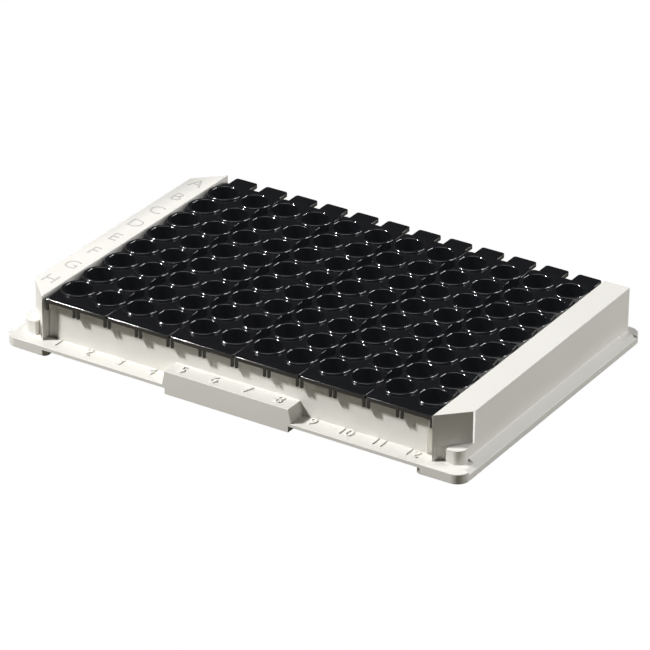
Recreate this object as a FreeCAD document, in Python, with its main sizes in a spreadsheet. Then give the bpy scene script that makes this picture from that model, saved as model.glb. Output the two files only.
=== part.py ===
import FreeCAD, Part
import math
import os
import re

import Sketcher

# Strip-well assay plate: a white carrier frame that holds six black modules of 2 x 8 wells.
# Origin: centre of the footprint, at the height of the surface that the plate stands on.
# +X runs along columns 1 to 12, +Y from row H at the front to row A at the back, +Z up.

# Driving dimensions: alias, value in millimetres or a plain count, and meaning
DIMENSIONS = [
    ("plate_length", "127.76", "footprint along X"),
    ("plate_width", "85.48", "footprint along Y"),
    ("plate_height", "14.35", "surface to rail tops"),
    ("corner_radius", "3.18", "footprint corners"),
    ("well_pitch", "9", "well to well along X, and along Y while end_clearance is kept"),
    ("flange_height", "2.5", "top of the base flange"),
    ("ledge_thickness", "0.95", "front and back ledges, and the flange over its hollows"),
    ("ledge_depth", "5.14", "footprint edge to the faces of the front and back walls"),
    ("skirt_wall", "1.4", "walls under the flange and the blocks"),
    ("corner_skirt_length", "12.4", "skirts at the corners, along X"),
    ("frame_wall", "1.3", "front, back and rail walls"),
    ("end_clearance", "0.45", "front and back walls to the tubes of the end rows"),
    ("block_length", "34.6", "tops of the raised blocks, along X"),
    ("block_flare", "0.9", "lean of a block's ends, outwards down to its foot"),
    ("step_height", "6.1", "top of the blocks and the corner steps"),
    ("step_inset", "3.9", "footprint edge to the faces of the corner steps"),
    ("step_radius", "2.4", "rounded corner of a step"),
    ("step_start", "3", "rail's inner face to a corner step"),
    ("rail_clearance", "0.2", "rail to the end module"),
    ("rail_width", "7", "top face of an end rail"),
    ("rail_end_inset", "2.6", "footprint edge to the rail ends"),
    ("rail_edge_radius", "1", "upright edge between a rail's side and its 45 degree end"),
    ("groove_inset", "0.2", "rail's inner face to the upright groove in the wall beside it"),
    ("groove_width", "2.4", "mouth of a wall groove"),
    ("groove_radius", "1.3", "wall groove"),
    ("relief_start", "0.5", "rail's inner face to the groove in its 45 degree end, along X"),
    ("relief_width", "1.95", "mouth of a 45 degree end's groove, along X"),
    ("relief_radius", "1.7", "groove in a 45 degree end"),
    ("shoulder_rise", "0.8", "end shoulder over the flange top, at the rail"),
    ("shoulder_drop", "0.8", "end shoulder under the flange top, at the edge"),
    ("shoulder_inset", "7.3", "footprint edge to the raised ends of a shoulder"),
    ("skirt_end_radius", "1.2", "upright ends of the corner skirts"),
    ("module_gap", "0.2", "between neighbouring modules"),
    ("rim_inset", "0.15", "rail tops down to the well rims"),
    ("deck_drop", "0.45", "well rims down to the deck"),
    ("deck_thickness", "1.05", "deck, lip and tabs"),
    ("deck_corner", "1", "cut back corners of a deck"),
    ("deck_back_inset", "0.3", "back wall's face to the deck edge"),
    ("lip_overhang", "2", "lip past the front wall"),
    ("tab_reach", "4.4", "tabs past the back wall"),
    ("tab_width", "6.4", "one tab for each column"),
    ("tab_drop", "0.55", "deck down to the tab tops"),
    ("hook_gap", "0.15", "tabs to the wall that they hook over"),
    ("rib_spread", "3.9", "column centre to each of its two ribs"),
    ("rib_thickness", "0.6", "rib under the lip, along X"),
    ("rib_depth", "0.6", "rib under the lip, along Y"),
    ("rib_height", "2.15", "rib under the lip"),
    ("rib_inset", "0.3", "lip edge to the fronts of the ribs"),
    ("well_diameter", "6.9", "well, across its facets"),
    ("well_depth", "11.2", "rim to well floor"),
    ("well_floor", "1.1", "thickness under a well"),
    ("tube_wall", "0.9", "wall round a well"),
    ("neck_reach", "3.1", "column centre to the necks between the scallops"),
    ("modules", "6", "modules side by side"),
    ("module_columns", "2", "columns of wells in a module"),
    ("well_rows", "8", "rows of wells"),
    ("well_sides", "14", "facets that draw a round well"),
    ("tube_sides", "8", "facets that draw the tube round a well"),
]
# How close in millimetres an edge lies to a place to count as standing on it
NEAR = 0.01
# Corners of the frame whose rail end is cut at 45 degrees: signs of X and Y
CUT_CORNERS = [(-1, -1), (1, -1), (-1, 1)]
ALIAS = re.compile(r"\b(" + "|".join(alias for alias, _, _ in DIMENSIONS) + r")\b")

doc = FreeCAD.newDocument("strip_plate")
sheet = doc.addObject("Spreadsheet::Sheet", "Dims")
for row, (alias, value, meaning) in enumerate(DIMENSIONS, start=1):
    sheet.set(f"A{row}", alias)
    sheet.set(f"B{row}", value)
    sheet.set(f"C{row}", meaning)
    sheet.setAlias(f"B{row}", alias)
doc.recompute()

# Places that several features share, as expressions in the sheet's aliases
GROUND = "0"
HALF_LENGTH = "(plate_length / 2)"
HALF_WIDTH = "(plate_width / 2)"
MODULE_WIDTH = "(module_columns * well_pitch)"
RAIL_INNER = f"(modules * {MODULE_WIDTH} / 2 + rail_clearance)"
RAIL_OUTER = f"({RAIL_INNER} + rail_width)"
RAIL_END = f"({HALF_WIDTH} - rail_end_inset)"
WALL_FACE = f"({HALF_WIDTH} - ledge_depth)"
WALL_INSIDE = f"({WALL_FACE} - frame_wall)"
STEP_FACE = f"({HALF_WIDTH} - step_inset)"
BLOCK_HALF = "(block_length / 2)"
SKIRT_END = f"({HALF_LENGTH} - corner_skirt_length)"
LEDGE_UNDER = "(flange_height - ledge_thickness)"
RIM_TOP = "(plate_height - rim_inset)"
DECK_TOP = f"({RIM_TOP} - deck_drop)"
DECK_UNDER = f"({DECK_TOP} - deck_thickness)"
COLUMN_REACH = "((module_columns - 1) * well_pitch / 2)"
ROW_REACH = f"({WALL_INSIDE} - end_clearance - tube_wall - well_diameter / 2)"


def bound(text):
    """An expression with the sheet's name before each alias."""
    return ALIAS.sub(r"Dims.\1", text)


def size(text):
    """The present value of an expression."""
    return float(sheet.evalExpression(bound(text)))


def bind(target, prop, text):
    """Ties a property to the sheet."""
    target.setExpression(prop, bound(text))


def new_body(name):
    """A sub-part, labelled with the name of its file."""
    body = doc.addObject("PartDesign::Body", name)
    body.Label = name
    return body


def origin_item(body, role):
    """One of a body's own origin planes or axes, by its role."""
    return next(item for item in body.Origin.OriginFeatures if item.Role == role)


def add_outline(sketch, corners):
    """A closed outline of straight sides, with every corner tied to the sheet."""
    points = [FreeCAD.Vector(size(across), size(along), 0) for across, along in corners]
    first = sketch.GeometryCount
    for index, point in enumerate(points):
        following = points[(index + 1) % len(points)]
        sketch.addGeometry(Part.LineSegment(point, following), False)
    for index, point in enumerate(points):
        line = first + index
        following = first + (index + 1) % len(points)
        sketch.addConstraint(Sketcher.Constraint("Coincident", line, 2, following, 1))
        across, along = corners[index]
        for kind, text, value in (("DistanceX", across, point.x), ("DistanceY", along, point.y)):
            number = sketch.addConstraint(Sketcher.Constraint(kind, -1, 1, line, 1, value))
            bind(sketch, f"Constraints[{number}]", text)


def add_groove_outline(sketch, mouth, radius):
    """A straight mouth between two points, closed by an arc on the left of the way along it."""
    start, end = [FreeCAD.Vector(size(across), size(along), 0) for across, along in mouth]
    along_mouth = end - start
    middle = (start + end) / 2
    half = along_mouth.Length / 2
    inwards = FreeCAD.Vector(-along_mouth.y, along_mouth.x, 0).normalize()
    centre = middle - inwards * math.sqrt(size(radius) ** 2 - half**2)
    angles = [math.atan2(point.y - centre.y, point.x - centre.x) for point in (end, start)]
    line = sketch.addGeometry(Part.LineSegment(start, end), False)
    circle = Part.Circle(centre, FreeCAD.Vector(0, 0, 1), size(radius))
    arc = sketch.addGeometry(Part.ArcOfCircle(circle, *angles), False)
    sketch.addConstraint(Sketcher.Constraint("Coincident", line, 2, arc, 1))
    sketch.addConstraint(Sketcher.Constraint("Coincident", arc, 2, line, 1))
    for tip, (across, along), point in ((1, mouth[0], start), (2, mouth[1], end)):
        for kind, expression, value in (("DistanceX", across, point.x), ("DistanceY", along, point.y)):
            number = sketch.addConstraint(Sketcher.Constraint(kind, -1, 1, line, tip, value))
            bind(sketch, f"Constraints[{number}]", expression)
    number = sketch.addConstraint(Sketcher.Constraint("Radius", arc, size(radius)))
    bind(sketch, f"Constraints[{number}]", radius)


def new_sketch(body, name, outlines, role, offset):
    """A sketch on an origin plane of the body, moved along the plane's normal."""
    sketch = body.newObject("Sketcher::SketchObject", name + "_sketch")
    sketch.AttachmentSupport = [(origin_item(body, role), "")]
    sketch.MapMode = "FlatFace"
    bind(sketch, "AttachmentOffset.Base.z", offset)
    for corners in outlines:
        add_outline(sketch, corners)
    return sketch


def pad(body, name, outlines, base, top):
    """Material between two levels, over one or more outlines in plan."""
    feature_sketch = new_sketch(body, name, outlines, "XY_Plane", base)
    feature = body.newObject("PartDesign::Pad", name)
    feature.Profile = feature_sketch
    bind(feature, "Length", f"{top} - {base}")
    return feature


def cut_upwards(body, name, feature_sketch, height):
    """A cut from a level sketch upwards."""
    feature = body.newObject("PartDesign::Pocket", name)
    feature.Profile = feature_sketch
    feature.Reversed = True
    bind(feature, "Length", height)
    return feature


def pocket(body, name, outlines, base, top):
    """A cut between two levels, over one or more outlines in plan."""
    feature_sketch = new_sketch(body, name, outlines, "XY_Plane", base)
    return cut_upwards(body, name, feature_sketch, f"{top} - {base}")


def grooves(body, name, mouths, radius, top):
    """Upright round grooves, open underneath, given by their mouths in plan."""
    feature_sketch = new_sketch(body, name, [], "XY_Plane", GROUND)
    for mouth in mouths:
        add_groove_outline(feature_sketch, mouth, radius)
    return cut_upwards(body, name, feature_sketch, top)


def symmetric(body, kind, name, outlines, role, offset, length):
    """A pad or pocket that runs equally to both sides of an upright sketch."""
    feature_sketch = new_sketch(body, name, outlines, role, offset)
    feature = body.newObject(kind, name)
    feature.Profile = feature_sketch
    feature.SideType = "Symmetric"
    bind(feature, "Length", length)
    return feature


def repeat(body, name, features, rows):
    """Repeats features over the module's columns, and over its rows where there are some."""
    pattern = body.newObject("PartDesign::LinearPattern", name)
    pattern.Originals = features
    pattern.Direction = (origin_item(body, "X_Axis"), [""])
    bind(pattern, "Length", f"2 * {COLUMN_REACH}")
    bind(pattern, "Occurrences", "module_columns")
    if rows > 1:
        pattern.Direction2 = (origin_item(body, "Y_Axis"), [""])
        bind(pattern, "Length2", f"2 * {ROW_REACH}")
        bind(pattern, "Occurrences2", "well_rows")
    body.Tip = pattern
    return pattern


def prism(body, kind, name, sides, width, base, top):
    """An upright prism at the first well, given by its width across opposite facets."""
    feature = body.newObject(kind, name)
    feature.AttachmentSupport = [(origin_item(body, "XY_Plane"), "")]
    feature.MapMode = "FlatFace"
    bind(feature, "AttachmentOffset.Base.x", f"-{COLUMN_REACH}")
    bind(feature, "AttachmentOffset.Base.y", f"-{ROW_REACH}")
    bind(feature, "AttachmentOffset.Base.z", base)
    bind(feature, "AttachmentOffset.Rotation.Angle", f"180 deg / {sides}")
    bind(feature, "Polygon", sides)
    bind(feature, "Circumradius", f"{width} / 2 / cos(180 deg / {sides})")
    bind(feature, "Height", f"{top} - {base}")
    return feature


def round_upright_edges(body, name, feature, places, radius):
    """Rounds the vertical edges that stand at the given places in plan."""
    doc.recompute()
    names = []
    for number, edge in enumerate(feature.Shape.Edges, start=1):
        box = edge.BoundBox
        here = (box.Center.x, box.Center.y)
        upright = max(box.XLength, box.YLength) < NEAR
        if upright and any(math.dist(here, place) < NEAR for place in places):
            names.append(f"Edge{number}")
    fillet = body.newObject("PartDesign::Fillet", name)
    fillet.Base = (feature, names)
    bind(fillet, "Radius", radius)
    return fillet


def rectangle(left, right, near, far):
    """Corners of a rectangle in plan."""
    return [(left, near), (right, near), (right, far), (left, far)]


def front_and_back(left, right, inner, outer):
    """The same rectangle at the front and at the back, by distances from the centre."""
    return [
        rectangle(left, right, f"-{outer}", f"-{inner}"),
        rectangle(left, right, inner, outer),
    ]


def rail_outline(side, inner, outer, near, far, far_cut):
    """An end rail in plan. Its near end is cut at 45 degrees, and so is a far end with far_cut."""
    outline = [
        (f"{side} * {inner}", f"-{near}"),
        (f"{side} * {outer}", f"-({near} - ({outer} - {inner}))"),
    ]
    if far_cut:
        outline.append((f"{side} * {outer}", f"{near} - ({outer} - {inner})"))
        outline.append((f"{side} * {inner}", near))
    else:
        outline.append((f"{side} * {outer}", far))
        outline.append((f"{side} * {inner}", far))
    return outline


def groove_mouth(side, end, inner, outer):
    """A mouth at one corner. Its points are ordered so that its arc runs into the wall."""
    points = [(f"{side} * {across}", f"{end} * {along}") for across, along in (inner, outer)]
    return points if side * end < 0 else points[::-1]


def step_outline(side, end):
    """The low step that fills the corner under a rail's 45 degree end."""
    start = f"{side} * ({RAIL_INNER} + step_start)"
    outer = f"{side} * {RAIL_OUTER}"
    face = f"{end} * {STEP_FACE}"
    back = f"{end} * ({RAIL_END} - rail_width - step_radius)"
    return [(start, face), (outer, face), (outer, back), (start, back)]


def add_flange(body):
    """The base flange with its rounded corners."""
    footprint = rectangle(f"-{HALF_LENGTH}", HALF_LENGTH, f"-{HALF_WIDTH}", HALF_WIDTH)
    flange = pad(body, "flange", [footprint], GROUND, "flange_height")
    corners = [(sx * size(HALF_LENGTH), sy * size(HALF_WIDTH)) for sx in (-1, 1) for sy in (-1, 1)]
    round_upright_edges(body, "flange_corners", flange, corners, "corner_radius")


def add_walls(body):
    """End rails, front and back walls, raised blocks and corner steps."""
    rails = [
        rail_outline(-1, RAIL_INNER, RAIL_OUTER, RAIL_END, RAIL_END, True),
        rail_outline(1, RAIL_INNER, RAIL_OUTER, RAIL_END, RAIL_END, False),
    ]
    rail_tops = pad(body, "rails", rails, LEDGE_UNDER, "plate_height")
    turn = size(f"{RAIL_END} - rail_width")
    places = [(side * size(RAIL_OUTER), end * turn) for side, end in CUT_CORNERS]
    round_upright_edges(body, "rail_edges", rail_tops, places, "rail_edge_radius")
    wall_end = f"({RAIL_INNER} + frame_wall)"
    walls = front_and_back(f"-{wall_end}", wall_end, WALL_INSIDE, WALL_FACE)
    pad(body, "walls", walls, LEDGE_UNDER, DECK_UNDER)
    foot = f"({BLOCK_HALF} + block_flare)"
    blocks = [
        (f"-{foot}", LEDGE_UNDER),
        (foot, LEDGE_UNDER),
        (BLOCK_HALF, "step_height"),
        (f"-{BLOCK_HALF}", "step_height"),
    ]
    symmetric(body, "PartDesign::Pad", "blocks", [blocks], "XZ_Plane", GROUND, "plate_width")
    outlines = [step_outline(side, end) for side, end in CUT_CORNERS]
    steps = pad(body, "corner_steps", outlines, LEDGE_UNDER, "step_height")
    places = [(side * size(RAIL_OUTER), end * size(STEP_FACE)) for side, end in CUT_CORNERS]
    round_upright_edges(body, "step_corners", steps, places, "step_radius")


def add_shoulders(body):
    """Slopes the flange down from each end rail to the edge of the footprint."""
    raised_length = "plate_width - 2 * shoulder_inset"
    sloped_length = "plate_width - 2 * corner_radius"
    inside = f"({RAIL_OUTER} - frame_wall)"
    low = "(flange_height - shoulder_drop)"
    high = "(flange_height + shoulder_rise)"
    share = "shoulder_rise / (shoulder_rise + shoulder_drop)"
    crossing = f"({RAIL_OUTER} + ({HALF_LENGTH} - {RAIL_OUTER}) * {share})"
    slopes = []
    wedges = []
    for side in (-1, 1):
        slopes.append(
            [
                (f"{side} * {crossing}", "flange_height"),
                (f"{side} * {HALF_LENGTH}", low),
                (f"{side} * {HALF_LENGTH}", "flange_height"),
            ]
        )
        wedges.append(
            [
                (f"{side} * {inside}", LEDGE_UNDER),
                (f"{side} * {crossing}", LEDGE_UNDER),
                (f"{side} * {crossing}", "flange_height"),
                (f"{side} * {RAIL_OUTER}", high),
                (f"{side} * {inside}", high),
            ]
        )
    symmetric(body, "PartDesign::Pocket", "end_slopes", slopes, "XZ_Plane", GROUND, sloped_length)
    symmetric(body, "PartDesign::Pad", "shoulders", wedges, "XZ_Plane", GROUND, raised_length)


def hollow_frame(body):
    """Opens the middle for the wells and hollows the moulding from underneath."""
    middle = rectangle(f"-{RAIL_INNER}", RAIL_INNER, f"-{WALL_INSIDE}", WALL_INSIDE)
    pocket(body, "middle_opening", [middle], GROUND, "(plate_height + frame_wall)")

    inner = f"({RAIL_INNER} + frame_wall)"
    outer = f"({RAIL_OUTER} - frame_wall)"
    near = f"({RAIL_END} - frame_wall * (1 + sqrt(2)))"
    far = f"({RAIL_END} - frame_wall)"
    hollows = [
        rail_outline(-1, inner, outer, near, far, True),
        rail_outline(1, inner, outer, near, far, False),
    ]
    pocket(body, "rail_hollows", hollows, GROUND, "(plate_height - frame_wall)")

    reach = f"({BLOCK_HALF} - skirt_wall)"
    block_hollows = front_and_back(f"-{reach}", reach, WALL_FACE, f"({HALF_WIDTH} - skirt_wall)")
    pocket(body, "block_hollows", block_hollows, GROUND, "(step_height - skirt_wall)")

    undercuts = []
    for left, right in ((f"-{SKIRT_END}", f"-{BLOCK_HALF}"), (BLOCK_HALF, SKIRT_END)):
        undercuts += front_and_back(left, right, WALL_INSIDE, f"({HALF_WIDTH} + skirt_wall)")
    ledges = pocket(body, "ledge_undercuts", undercuts, GROUND, LEDGE_UNDER)
    skirts = [(side * size(SKIRT_END), end * size(HALF_WIDTH)) for side in (-1, 1) for end in (-1, 1)]
    round_upright_edges(body, "skirt_ends", ledges, skirts, "skirt_end_radius")

    edge = f"({HALF_LENGTH} - skirt_wall)"
    flank = f"({HALF_WIDTH} - skirt_wall)"
    end_hollows = [
        rectangle(f"-{edge}", f"-{RAIL_OUTER}", f"-{flank}", flank),
        rectangle(RAIL_OUTER, edge, f"-{flank}", flank),
    ]
    pocket(body, "end_hollows", end_hollows, GROUND, "(flange_height - shoulder_drop - skirt_wall / 2)")


def cut_grooves(body):
    """Upright grooves in the front wall beside the rails, and in the 45 degree rail ends."""
    outer = f"({RAIL_INNER} - groove_inset)"
    inner = f"({outer} - groove_width)"
    mouths = [groove_mouth(side, -1, (inner, WALL_FACE), (outer, WALL_FACE)) for side in (-1, 1)]
    grooves(body, "wall_grooves", mouths, "groove_radius", DECK_UNDER)
    near = "relief_start"
    far = "(relief_start + relief_width)"
    inner = (f"({RAIL_INNER} + {near})", f"({RAIL_END} - {near})")
    outer = (f"({RAIL_INNER} + {far})", f"({RAIL_END} - {far})")
    mouths = [groove_mouth(side, end, inner, outer) for side, end in CUT_CORNERS]
    grooves(body, "rail_end_grooves", mouths, "relief_radius", "step_height")


def build_frame():
    """The white carrier, one moulding: open in the middle and hollow underneath."""
    body = new_body("strip_frame")
    add_flange(body)
    add_walls(body)
    add_shoulders(body)
    hollow_frame(body)
    cut_grooves(body)
    return body


def add_deck(body):
    """The deck with its lip, its cut back corners and the field that the rims stand on."""
    half = f"({MODULE_WIDTH} / 2 - module_gap / 2)"
    neck = f"({COLUMN_REACH} + neck_reach)"
    lip = f"({WALL_FACE} + lip_overhang)"
    back = f"({WALL_FACE} - deck_back_inset)"
    right_side = [
        (half, f"-{lip}"),
        (half, f"-{ROW_REACH}"),
        (neck, f"-{ROW_REACH}"),
        (neck, ROW_REACH),
        (half, ROW_REACH),
        (half, f"({back} - deck_corner)"),
        (f"({half} - deck_corner)", back),
    ]
    left_side = [(f"-{across}", along) for across, along in reversed(right_side)]
    pad(body, "deck", [right_side + left_side], DECK_UNDER, DECK_TOP)
    field = rectangle(f"-{neck}", neck, f"-{ROW_REACH}", ROW_REACH)
    pad(body, "well_field", [field], DECK_UNDER, RIM_TOP)


def add_ribs(body):
    """Two thin ribs for each column, hanging from the lip in front of the front wall."""
    front = f"-({WALL_FACE} + lip_overhang - rib_inset)"
    back = f"({front} + rib_depth)"
    ribs = []
    for side in (-1, 1):
        centre = f"({side} * rib_spread - {COLUMN_REACH})"
        half = "rib_thickness / 2"
        ribs.append(rectangle(f"{centre} - {half}", f"{centre} + {half}", front, back))
    rib = pad(body, "rib", ribs, f"({DECK_UNDER} - rib_height)", f"({DECK_UNDER} + deck_thickness / 2)")
    repeat(body, "ribs", [rib], 1)


def add_tabs(body):
    """One tab for each column, a step below the deck, that hooks over the back wall."""
    root = WALL_INSIDE
    hook = f"({WALL_FACE} + hook_gap)"
    end = f"({WALL_FACE} + tab_reach)"
    top = f"({DECK_TOP} - tab_drop)"
    under = f"({top} - deck_thickness)"
    profile = [
        (root, DECK_UNDER),
        (hook, DECK_UNDER),
        (hook, under),
        (end, under),
        (end, top),
        (root, top),
    ]
    place = f"-{COLUMN_REACH}"
    tab = symmetric(body, "PartDesign::Pad", "tab", [profile], "YZ_Plane", place, "tab_width")
    repeat(body, "tabs", [tab], 1)


def add_wells(body):
    """Tubes that stand apart below the deck, and the wells in them."""
    rows = round(size("well_rows"))
    floor = f"({RIM_TOP} - well_depth)"
    base = f"({floor} - well_floor)"
    across = "(well_diameter + 2 * tube_wall)"
    tube = prism(body, "PartDesign::AdditivePrism", "tube", "tube_sides", across, base, RIM_TOP)
    repeat(body, "tubes", [tube], rows)
    clear = f"({RIM_TOP} + deck_thickness)"
    well = prism(body, "PartDesign::SubtractivePrism", "well", "well_sides", "well_diameter", floor, clear)
    repeat(body, "wells", [well], rows)


def build_module(name):
    """A black well module, drawn about its own centre."""
    body = new_body(name)
    add_deck(body)
    add_ribs(body)
    add_tabs(body)
    add_wells(body)
    return body


def copy_of(original, name):
    """Another moulding from the same mould."""
    body = new_body(name)
    base = body.newObject("PartDesign::FeatureBase", name + "_base")
    base.BaseFeature = original
    body.Tip = base
    return body


def build_modules():
    """The modules side by side, from column 1."""
    first = build_module("well_module_1")
    count = round(size("modules"))
    bodies = [first] + [copy_of(first, f"well_module_{number}") for number in range(2, count + 1)]
    for number, body in enumerate(bodies, start=1):
        bind(body, "Placement.Base.x", f"({number} - (modules + 1) / 2) * {MODULE_WIDTH}")
    return bodies


def check(parts):
    """Stops before anything is written if an object failed or a shape is unsound."""
    failed = [item.Name for item in doc.Objects if {"Invalid", "Error"} & set(item.State)]
    if failed:
        raise RuntimeError(f"these objects did not compute: {failed}")
    for part in parts:
        if part.Shape.isNull() or not part.Shape.isValid() or len(part.Shape.Solids) != 1:
            raise RuntimeError(f"{part.Label} is not one valid solid")


parts = [build_frame()] + build_modules()
doc.recompute()
check(parts)
os.makedirs("parts", exist_ok=True)
for part in parts:
    part.Shape.exportStep(f"parts/{part.Label}.step")
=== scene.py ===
import math

import bmesh
import bpy
from mathutils import Matrix, Vector
from mathutils.geometry import tessellate_polygon


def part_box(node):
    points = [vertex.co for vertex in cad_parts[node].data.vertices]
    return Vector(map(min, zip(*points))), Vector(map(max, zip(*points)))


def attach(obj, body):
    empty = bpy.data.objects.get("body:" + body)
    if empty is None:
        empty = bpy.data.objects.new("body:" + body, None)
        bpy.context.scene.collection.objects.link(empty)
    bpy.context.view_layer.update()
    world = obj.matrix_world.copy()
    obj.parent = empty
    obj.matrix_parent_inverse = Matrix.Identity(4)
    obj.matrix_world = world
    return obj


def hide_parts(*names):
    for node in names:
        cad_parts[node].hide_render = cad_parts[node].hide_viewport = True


# Looks of a strip-well assay plate: a white moulded frame with six black modules of round wells.
# Sizes and places are in millimetres in the row frame, apart from those of the floor and the
# lights, which are in metres. Scene units are metres, so millimetres are multiplied by MM.
MM = 0.001

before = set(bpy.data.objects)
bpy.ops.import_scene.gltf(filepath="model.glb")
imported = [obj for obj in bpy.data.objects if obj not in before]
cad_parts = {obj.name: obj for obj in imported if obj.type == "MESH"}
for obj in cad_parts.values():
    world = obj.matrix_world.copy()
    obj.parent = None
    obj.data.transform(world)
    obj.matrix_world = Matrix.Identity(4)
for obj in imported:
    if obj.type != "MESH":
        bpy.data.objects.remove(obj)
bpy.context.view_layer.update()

# Sizes that the frame gives. All modules are alike, so the first stands for all.
MODULES = sorted(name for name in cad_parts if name.startswith("well_module"))
module_low, module_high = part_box(MODULES[0])
HALF_MODULE = (module_high.x - module_low.x) / 2 / MM
LIP_EDGE = module_low.y / MM
TAB_END = module_high.y / MM
TUBE_BASE = module_low.z / MM
RIM_TOP = module_high.z / MM
RAIL_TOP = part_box("strip_frame")[1].z / MM

# Grid of wells. A module has two columns, one on each side of its centre line.
PITCH = 9.0
ROWS = 8
COLUMNS = 12
COLUMN_REACH = PITCH / 2
ROW_REACH = (ROWS - 1) * PITCH / 2

# Wells and the tubes round them
WELL_RADIUS = 3.45
TUBE_RADIUS = 4.35
HOLE_RADIUS = (WELL_RADIUS + TUBE_RADIUS) / 2
WELL_DEPTH = 11.2
WELL_BOTTOM = RIM_TOP - WELL_DEPTH
RIM_ROUND = 0.27
FLOOR_ROUND = 0.7
FOOT_BEVEL = 0.3
WELL_SEGMENTS = 56
HOLE_SEGMENTS = 28
ROUND_STEPS = 5

# Deck of a module, with scallops that meet at necks between the rows
SHEET = 1.05
DECK_DROP = 0.45
DECK_TOP = RIM_TOP - DECK_DROP
DECK_UNDER = DECK_TOP - SHEET
DECK_BACK = 37.3
DECK_CORNER = 1.0
DECK_CORNER_STEPS = 6
DECK_EDGE_ROUND = 0.16
LIP_CORNER = 0.7
NECK_REACH = 3.1
SCALLOP_STEPS = 12
EDGE_STEPS = 3
MITRE_LIMIT = 0.5

# Tabs behind the deck, and the bridges that join them to it over the back wall
WALL_INSIDE = 36.3
HOOK_FACE = 37.75
TAB_WIDTH = 6.4
TAB_CORNER = 0.7
TAB_DROP = 0.55
TAB_TOP = DECK_TOP - TAB_DROP
TAB_EDGE_ROUND = 0.12
BRIDGE_OVERLAP = 0.2
BRIDGE_DROP = 0.002
BRIDGE_EDGE_ROUND = 0.02

# Ribs under the lip, a pair to each column
RIB_SPREAD = 3.9
RIB_THICKNESS = 0.6
RIB_DEPTH = 0.6
RIB_HEIGHT = 2.15
RIB_INSET = 0.3
RIB_OVERLAP = 0.3
RIB_EDGE_ROUND = 0.05

# Rounding of the frame's edges
SHELL_EDGE_ROUND = 0.16
SHORTEST_BEVEL = 0.2
MERGE_DISTANCE = 0.001
FLAT_ANGLE = math.radians(1)
EDGE_ANGLE = math.radians(28)
SHADING_ANGLE = math.radians(35)

# Column numbers on the flange and on the block in its middle, and row letters on the left rail.
# The built-in typeface has capitals of this share of its size.
CAPITAL_SHARE = 0.69
FLANGE_TOP = 2.5
BLOCK_TOP = 6.1
BLOCK_HALF = 17.3
NUMBER_Y_ON_BLOCK = -40.1
NUMBER_Y_ON_FLANGE = -39.3
NUMBER_SHIFT_ON_BLOCK = 0.3
NUMBER_SHIFT_ON_FLANGE = 0.8
NUMBER_FORM = {"height": 2.9, "rise": 0.22, "bevel": 0.04, "offset": -0.05}
LETTER_X = -57.9
LETTER_Z = RAIL_TOP - 0.03
LETTER_FORM = {"height": 4.0, "rise": 0, "bevel": 0.07, "offset": -0.12}

# Tones of the white plastic, and where they lie in the noise that mixes them
WHITE_TONES = ((0.35, (0.80, 0.785, 0.735)), (0.7, (0.835, 0.82, 0.77)))
# The row letters are drawn in the white plastic darkened to this share. This is painted shade,
# standing in for the shade on moulded letters.
LETTER_PAINTED_SHADE = 0.35
BLACK_ROUGHNESS = {"To Min": 0.12, "To Max": 0.17}

# Strength of the backdrop for the plate and for the camera, and how much less reflections see
BACKDROP = {"To Min": 0.04, "To Max": 1.0}
GLOSSY_LOSS = 0.015
FLOOR_SIZE = 6

# Name, place, side of the square, power, and whether surfaces are lit by it or only reflect it
LIGHTS = (
    ("key_light", (-0.57, -0.415, 0.67), 0.1, 11.6, True),
    ("back_light", (0.75, 0.65, 1.25), 0.3, 6.6, True),
    ("side_light", (0.9, 0.72, 0.24), 0.8, 8.6, True),
    ("rim_light", (0.0, -0.1, 1.2), 0.9, 2.2, False),
)

# Camera fitted to the plate's corners and wells in the photograph
AZIMUTH = math.radians(32.14)
ELEVATION = math.radians(27.49)
ROLL = math.radians(0.39)
DISTANCE = 946.95
TARGET = (10.12, -15.67, 14.2)
FOCAL_PIXELS = 4030.37
IMAGE_PIXELS = 650
SENSOR = 36.0
CLIP_START = 50.0


def vector_mm(x, y, z):
    """A point given in millimetres, in metres."""
    return Vector((x * MM, y * MM, z * MM))


def arc(cx, cy, radius, start, end, steps):
    """Points on an arc, angles in degrees, both ends included."""
    angles = [math.radians(start + (end - start) * i / steps) for i in range(steps + 1)]
    return [(cx + radius * math.cos(a), cy + radius * math.sin(a)) for a in angles]


def circle(x, y, radius, segments):
    """Points on a full circle in plan."""
    return arc(x, y, radius, 0, 360, segments)[:-1]


def rectangle(left, right, near, far):
    """A rectangle in plan, anticlockwise."""
    return [(left, near), (right, near), (right, far), (left, far)]


def inset(outline, distance):
    """A closed anticlockwise outline moved inwards, mitred at its corners."""
    moved = []
    for index, (x, y) in enumerate(outline):
        before = outline[index - 1]
        after = outline[(index + 1) % len(outline)]
        a = Vector((x - before[0], y - before[1])).normalized()
        b = Vector((after[0] - x, after[1] - y)).normalized()
        inward = Vector((-a.y, a.x))
        middle = (inward + Vector((-b.y, b.x))).normalized()
        reach = distance / max(middle.dot(inward), MITRE_LIMIT)
        moved.append((x + middle.x * reach, y + middle.y * reach))
    return moved


def ring(bm, outline, z):
    """Vertices of a closed outline at one height."""
    return [bm.verts.new(vector_mm(x, y, z)) for x, y in outline]


def wall(bm, lower, upper):
    """Smooth faces between two rings of the same length, or between a ring and a single vertex."""
    count = max(len(lower), len(upper))
    for i in range(count):
        j = (i + 1) % count
        if len(lower) == 1:
            corners = (lower[0], upper[j], upper[i])
        elif len(upper) == 1:
            corners = (lower[i], lower[j], upper[0])
        else:
            corners = (lower[i], lower[j], upper[j], upper[i])
        bm.faces.new(corners).smooth = True


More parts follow.
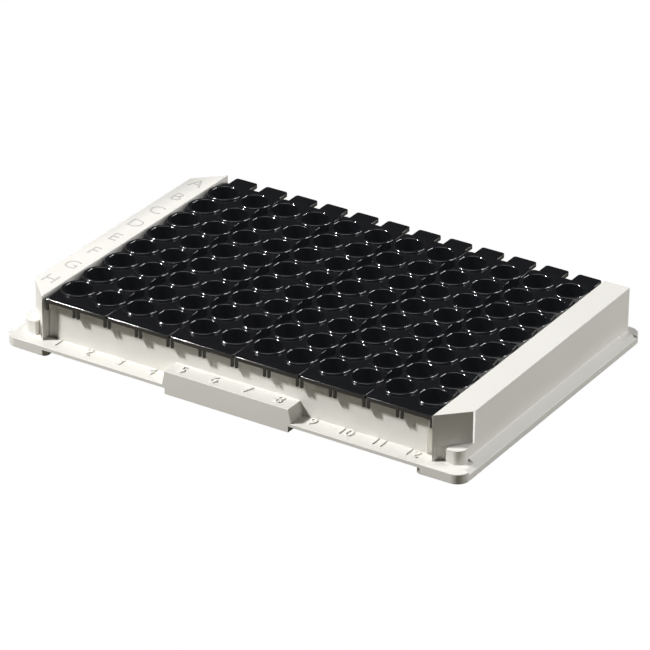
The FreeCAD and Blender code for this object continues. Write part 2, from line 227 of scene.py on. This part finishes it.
def cap(bm, loops, upward):
    """A flat face between an outline and its holes, as triangles that shade flat."""
    points = [[Vector((v.co.x, v.co.y, 0)) for v in loop] for loop in loops]
    vertices = [v for loop in loops for v in loop]
    for triangle in tessellate_polygon(points):
        corners = [vertices[index] for index in triangle]
        normal = (corners[1].co - corners[0].co).cross(corners[2].co - corners[0].co)
        if (normal.z > 0) != upward:
            corners.reverse()
        bm.faces.new(corners).smooth = False


def slab(bm, outline, low, high, edge, holes=()):
    """A plate with a rounded top edge. Holes are (x, y), open from top to bottom."""
    levels = [(0.0, low)]
    levels += [(edge - out, z) for out, z in arc(0, high - edge, edge, 0, 90, EDGE_STEPS)]
    rings = [ring(bm, inset(outline, away), z) for away, z in levels]
    for lower, upper in zip(rings, rings[1:]):
        wall(bm, lower, upper)
    bottoms, tops = [rings[0]], [rings[-1]]
    for x, y in holes:
        round_hole = circle(x, y, HOLE_RADIUS, HOLE_SEGMENTS)
        below, above = ring(bm, round_hole, low), ring(bm, round_hole, high)
        wall(bm, above, below)
        bottoms.append(below)
        tops.append(above)
    cap(bm, bottoms, False)
    cap(bm, tops, True)


def lathe(bm, profile, x, y):
    """A closed solid of revolution about an upright line. The profile runs from axis to axis."""
    rings = []
    for radius, z in profile:
        outline = circle(x, y, radius, WELL_SEGMENTS) if radius else [(x, y)]
        rings.append(ring(bm, outline, z))
    for lower, upper in zip(rings, rings[1:]):
        wall(bm, lower, upper)


def well_profile():
    """From the middle of the underside, up the outside, over the rim and down to the floor."""
    shoulder = RIM_TOP - RIM_ROUND
    profile = [(0, TUBE_BASE), (TUBE_RADIUS - FOOT_BEVEL, TUBE_BASE)]
    profile.append((TUBE_RADIUS, TUBE_BASE + FOOT_BEVEL))
    profile += arc(TUBE_RADIUS - RIM_ROUND, shoulder, RIM_ROUND, 0, 90, ROUND_STEPS)
    profile += arc(WELL_RADIUS + RIM_ROUND, shoulder, RIM_ROUND, 90, 180, ROUND_STEPS)
    centre = (WELL_RADIUS - FLOOR_ROUND, WELL_BOTTOM + FLOOR_ROUND)
    profile += arc(*centre, FLOOR_ROUND, 0, -90, ROUND_STEPS)
    profile.append((0, WELL_BOTTOM))
    return profile


def deck_outline(rows):
    """The deck in plan: straight at the lip, scalloped round the wells, rounded at the back."""
    neck = math.degrees(math.acos(NECK_REACH / TUBE_RADIUS))
    corner = (HALF_MODULE - LIP_CORNER, LIP_EDGE + LIP_CORNER)
    right = arc(*corner, LIP_CORNER, -90, 0, ROUND_STEPS)
    right.append((HALF_MODULE, rows[0]))
    for y in rows:
        start = 0 if y == rows[0] else -neck
        end = 0 if y == rows[-1] else neck
        right += arc(COLUMN_REACH, y, TUBE_RADIUS, start, end, SCALLOP_STEPS)
    right.append((HALF_MODULE, rows[-1]))
    corner = (HALF_MODULE - DECK_CORNER, DECK_BACK - DECK_CORNER)
    right += arc(*corner, DECK_CORNER, 0, 90, DECK_CORNER_STEPS)
    left = [(-x, y) for x, y in reversed(right)]
    return right + left


def tab_outline(x):
    """A tab in plan, with rounded far corners."""
    half = TAB_WIDTH / 2
    far = TAB_END - TAB_CORNER
    outline = [(x - half, HOOK_FACE), (x + half, HOOK_FACE)]
    outline += arc(x + half - TAB_CORNER, far, TAB_CORNER, 0, 90, ROUND_STEPS)
    outline += arc(x - half + TAB_CORNER, far, TAB_CORNER, 90, 180, ROUND_STEPS)
    return outline


def add_tab(bm, x):
    """A tab with the bridge that joins it to the deck."""
    slab(bm, tab_outline(x), TAB_TOP - SHEET, TAB_TOP, TAB_EDGE_ROUND)
    half = TAB_WIDTH / 2
    bridge = rectangle(x - half, x + half, WALL_INSIDE, HOOK_FACE + BRIDGE_OVERLAP)
    slab(bm, bridge, DECK_UNDER, TAB_TOP - BRIDGE_DROP, BRIDGE_EDGE_ROUND)


def add_rib(bm, x):
    """A rib that hangs under the lip in front of the wall."""
    half = RIB_THICKNESS / 2
    near = LIP_EDGE + RIB_INSET
    outline = rectangle(x - half, x + half, near, near + RIB_DEPTH)
    slab(bm, outline, DECK_UNDER - RIB_HEIGHT, DECK_UNDER + RIB_OVERLAP, RIB_EDGE_ROUND)


def finished_mesh(bm, name):
    """A mesh from the edited form, smooth apart from its sharp edges."""
    mesh = bpy.data.meshes.new(name)
    bm.to_mesh(mesh)
    bm.free()
    mesh.set_sharp_from_angle(angle=SHADING_ANGLE)
    return mesh


def module_mesh():
    """One module about its own centre line, as a mesh that all six share."""
    bm = bmesh.new()
    columns = (-COLUMN_REACH, COLUMN_REACH)
    rows = [row * PITCH - ROW_REACH for row in range(ROWS)]
    wells = [(x, y) for x in columns for y in rows]
    slab(bm, deck_outline(rows), DECK_UNDER, DECK_TOP, DECK_EDGE_ROUND, wells)
    for x, y in wells:
        lathe(bm, well_profile(), x, y)
    for x in columns:
        add_tab(bm, x)
        add_rib(bm, x - RIB_SPREAD)
        add_rib(bm, x + RIB_SPREAD)
    return finished_mesh(bm, "module")


def shell_mesh():
    """The frame's solid with its flat faces joined and its edges rounded."""
    bm = bmesh.new()
    bm.from_mesh(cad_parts["strip_frame"].data)
    bmesh.ops.remove_doubles(bm, verts=bm.verts, dist=MERGE_DISTANCE * MM)
    bmesh.ops.dissolve_limit(bm, angle_limit=FLAT_ANGLE, verts=bm.verts, edges=bm.edges)
    edges = [
        edge
        for edge in bm.edges
        if len(edge.link_faces) == 2
        and edge.calc_face_angle(0) > EDGE_ANGLE
        and edge.calc_length() > SHORTEST_BEVEL * MM
    ]
    bmesh.ops.bevel(
        bm,
        geom=edges,
        offset=SHELL_EDGE_ROUND * MM,
        segments=EDGE_STEPS,
        profile=0.5,
        affect="EDGES",
        clamp_overlap=False,
    )
    for face in bm.faces:
        face.smooth = True
    return finished_mesh(bm, "moulded_frame")


def link(name, data):
    """A new object in the scene."""
    item = bpy.data.objects.new(name, data)
    bpy.context.scene.collection.objects.link(item)
    return item


def add_piece(name, data, material):
    """A new piece of the part, in one of its material slots."""
    piece = link(name, data)
    data.materials.append(material)
    return piece


def add_text(text, name, place, material, height, rise, bevel, offset):
    """A plain numeral or letter that reads from the front. Returns its curve."""
    curve = bpy.data.curves.new(name, "FONT")
    curve.body = text
    curve.align_x = "CENTER"
    curve.align_y = "CENTER"
    curve.size = height * MM / CAPITAL_SHARE
    curve.extrude = rise * MM
    curve.bevel_depth = bevel * MM
    curve.offset = offset * MM
    piece = add_piece(name, curve, material)
    piece.location = vector_mm(*place)
    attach(piece, "root")
    return curve


def new_material(name):
    """A node material, with its tree and its shader."""
    material = bpy.data.materials.new(name)
    material.use_nodes = True
    return material, material.node_tree, material.node_tree.nodes["Principled BSDF"]


def set_inputs(node, values):
    """Sets inputs of a node by name."""
    for name, value in values.items():
        node.inputs[name].default_value = value


def add_noise(tree, scale, detail):
    """Noise in object coordinates. Returns its factor."""
    place = tree.nodes.new("ShaderNodeTexCoord")
    noise = tree.nodes.new("ShaderNodeTexNoise")
    set_inputs(noise, {"Scale": scale, "Detail": detail})
    tree.links.new(place.outputs["Object"], noise.inputs["Vector"])
    return noise.outputs["Fac"]


def add_grain(tree, shader, scale, strength, distance):
    """A fine moulded surface from noise. The distance is in millimetres."""
    bump = tree.nodes.new("ShaderNodeBump")
    set_inputs(bump, {"Strength": strength, "Distance": distance * MM})
    tree.links.new(add_noise(tree, scale, detail=4), bump.inputs["Height"])
    tree.links.new(bump.outputs["Normal"], shader.inputs["Normal"])


def white_plastic(name, painted_shade_scale):
    """Satin white polystyrene with a faint tone change and moulded grain. A scale below one
    darkens all its tones into painted shade.
    """
    material, tree, shader = new_material(name)
    set_inputs(shader, {"Roughness": 0.42, "IOR": 1.5})
    ramp = tree.nodes.new("ShaderNodeValToRGB")
    for element, (position, tone) in zip(ramp.color_ramp.elements, WHITE_TONES):
        element.position = position
        element.color = [channel * painted_shade_scale for channel in tone] + [1]
    tree.links.new(add_noise(tree, scale=35, detail=3), ramp.inputs["Fac"])
    tree.links.new(ramp.outputs["Color"], shader.inputs["Base Color"])
    add_grain(tree, shader, scale=900, strength=0.12, distance=0.08)
    return material


def black_plastic():
    """Glossy black polystyrene, a little uneven in its polish.

    A very small even glow stands in for the dark grey that the photograph has in its shadows.
    """
    material, tree, shader = new_material("black_moulding")
    looks = {
        "Base Color": (0.0032, 0.0034, 0.0042, 1),
        "IOR": 1.8,
        "Specular IOR Level": 0.85,
        "Emission Color": (0.8, 0.86, 1, 1),
        "Emission Strength": 0.005,
    }
    set_inputs(shader, looks)
    polish = tree.nodes.new("ShaderNodeMapRange")
    set_inputs(polish, BLACK_ROUGHNESS)
    tree.links.new(add_noise(tree, scale=120, detail=4), polish.inputs["Value"])
    tree.links.new(polish.outputs["Result"], shader.inputs["Roughness"])
    add_grain(tree, shader, scale=700, strength=0.015, distance=0.06)
    return material


def floor_material():
    """A plain floor that shows pure white to the camera and sends little light back up."""
    material, tree, shader = new_material("floor")
    looks = {
        "Base Color": (0.16, 0.15, 0.115, 1),
        "Roughness": 0.9,
        "Specular IOR Level": 0.1,
    }
    set_inputs(shader, looks)
    glow = tree.nodes.new("ShaderNodeEmission")
    path = tree.nodes.new("ShaderNodeLightPath")
    mix = tree.nodes.new("ShaderNodeMixShader")
    tree.links.new(path.outputs["Is Camera Ray"], mix.inputs["Fac"])
    tree.links.new(shader.outputs["BSDF"], mix.inputs[1])
    tree.links.new(glow.outputs["Emission"], mix.inputs[2])
    tree.links.new(mix.outputs["Shader"], tree.nodes["Material Output"].inputs["Surface"])
    return material


def backdrop_world():
    """White to the camera, dim to the plate, and dimmer still in its reflections."""
    world = bpy.data.worlds.new("world")
    world.use_nodes = True
    nodes, links = world.node_tree.nodes, world.node_tree.links
    sky = nodes["Background"]
    set_inputs(sky, {"Color": (1, 1, 1, 1)})
    path = nodes.new("ShaderNodeLightPath")
    seen = nodes.new("ShaderNodeMapRange")
    set_inputs(seen, BACKDROP)
    shine = nodes.new("ShaderNodeMath")
    shine.operation = "MULTIPLY_ADD"
    shine.inputs[1].default_value = -GLOSSY_LOSS
    links.new(path.outputs["Is Camera Ray"], seen.inputs["Value"])
    links.new(path.outputs["Is Glossy Ray"], shine.inputs[0])
    links.new(seen.outputs["Result"], shine.inputs[2])
    links.new(shine.outputs["Value"], sky.inputs["Strength"])
    return world


def add_light(name, place, side, power, diffuse):
    """A square soft light that looks at the middle of the plate."""
    data = bpy.data.lights.new(name, "AREA")
    data.size = side
    data.energy = power
    lamp = link(name, data)
    lamp.location = place
    lamp.rotation_mode = "QUATERNION"
    lamp.rotation_quaternion = Vector(place).to_track_quat("Z", "Y")
    lamp.visible_diffuse = diffuse


def fitted_camera():
    """The camera that took the photograph."""
    across = math.cos(ELEVATION)
    back = Vector(
        (math.sin(AZIMUTH) * across, -math.cos(AZIMUTH) * across, math.sin(ELEVATION))
    )
    level = Vector((math.cos(AZIMUTH), math.sin(AZIMUTH), 0))
    upright = back.cross(level)
    right = level * math.cos(ROLL) + upright * math.sin(ROLL)
    up = upright * math.cos(ROLL) - level * math.sin(ROLL)
    data = bpy.data.cameras.new("camera")
    data.sensor_width = SENSOR
    data.lens = FOCAL_PIXELS * SENSOR / IMAGE_PIXELS
    data.clip_start = CLIP_START * MM
    camera = link("camera", data)
    place = vector_mm(*TARGET) + back * DISTANCE * MM
    axes = Matrix((right, up, back)).transposed().to_4x4()
    camera.matrix_world = Matrix.Translation(place) @ axes
    return camera


white = white_plastic("white_moulding", 1.0)
# A darker copy of the white plastic, as painted shade for the outlines of the row letters.
painted_shade_white = white_plastic("letter_painted_shade_outline", LETTER_PAINTED_SHADE)
black = black_plastic()

# The modules share one mesh, so its material goes in once.
shared_mesh = module_mesh()
shared_mesh.materials.append(black)
for name in MODULES:
    low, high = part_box(name)
    piece = link(name.replace("module", "strip"), shared_mesh)
    piece.location.x = (low.x + high.x) / 2
    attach(piece, "root")
    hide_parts(name)

shell = add_piece("moulded_frame", shell_mesh(), white)
shell.modifiers.new("flat_faces", "WEIGHTED_NORMAL").keep_sharp = True
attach(shell, "root")
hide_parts("strip_frame")

for column in range(COLUMNS):
    x = (column - (COLUMNS - 1) / 2) * PITCH
    if abs(x) < BLOCK_HALF:
        place = (x - NUMBER_SHIFT_ON_BLOCK, NUMBER_Y_ON_BLOCK, BLOCK_TOP)
    else:
        place = (x - NUMBER_SHIFT_ON_FLANGE, NUMBER_Y_ON_FLANGE, FLANGE_TOP)
    add_text(str(column + 1), f"number_{column + 1}", place, white, **NUMBER_FORM)
# Row letters as flat outlines in the darker copy of the white plastic: painted shade where moulded
# letters would be shaded.
for row, text in enumerate("ABCDEFGH"):
    place = (LETTER_X, ROW_REACH - row * PITCH, LETTER_Z)
    add_text(text, f"letter_{row + 1}", place, painted_shade_white, **LETTER_FORM).fill_mode = "NONE"

bpy.ops.mesh.primitive_plane_add(size=FLOOR_SIZE)
floor = bpy.context.object
floor.name = "floor"
floor.data.materials.append(floor_material())

scene = bpy.context.scene
scene.world = backdrop_world()
for light in LIGHTS:
    add_light(*light)
scene.camera = fitted_camera()
scene.view_settings.view_transform = "Standard"
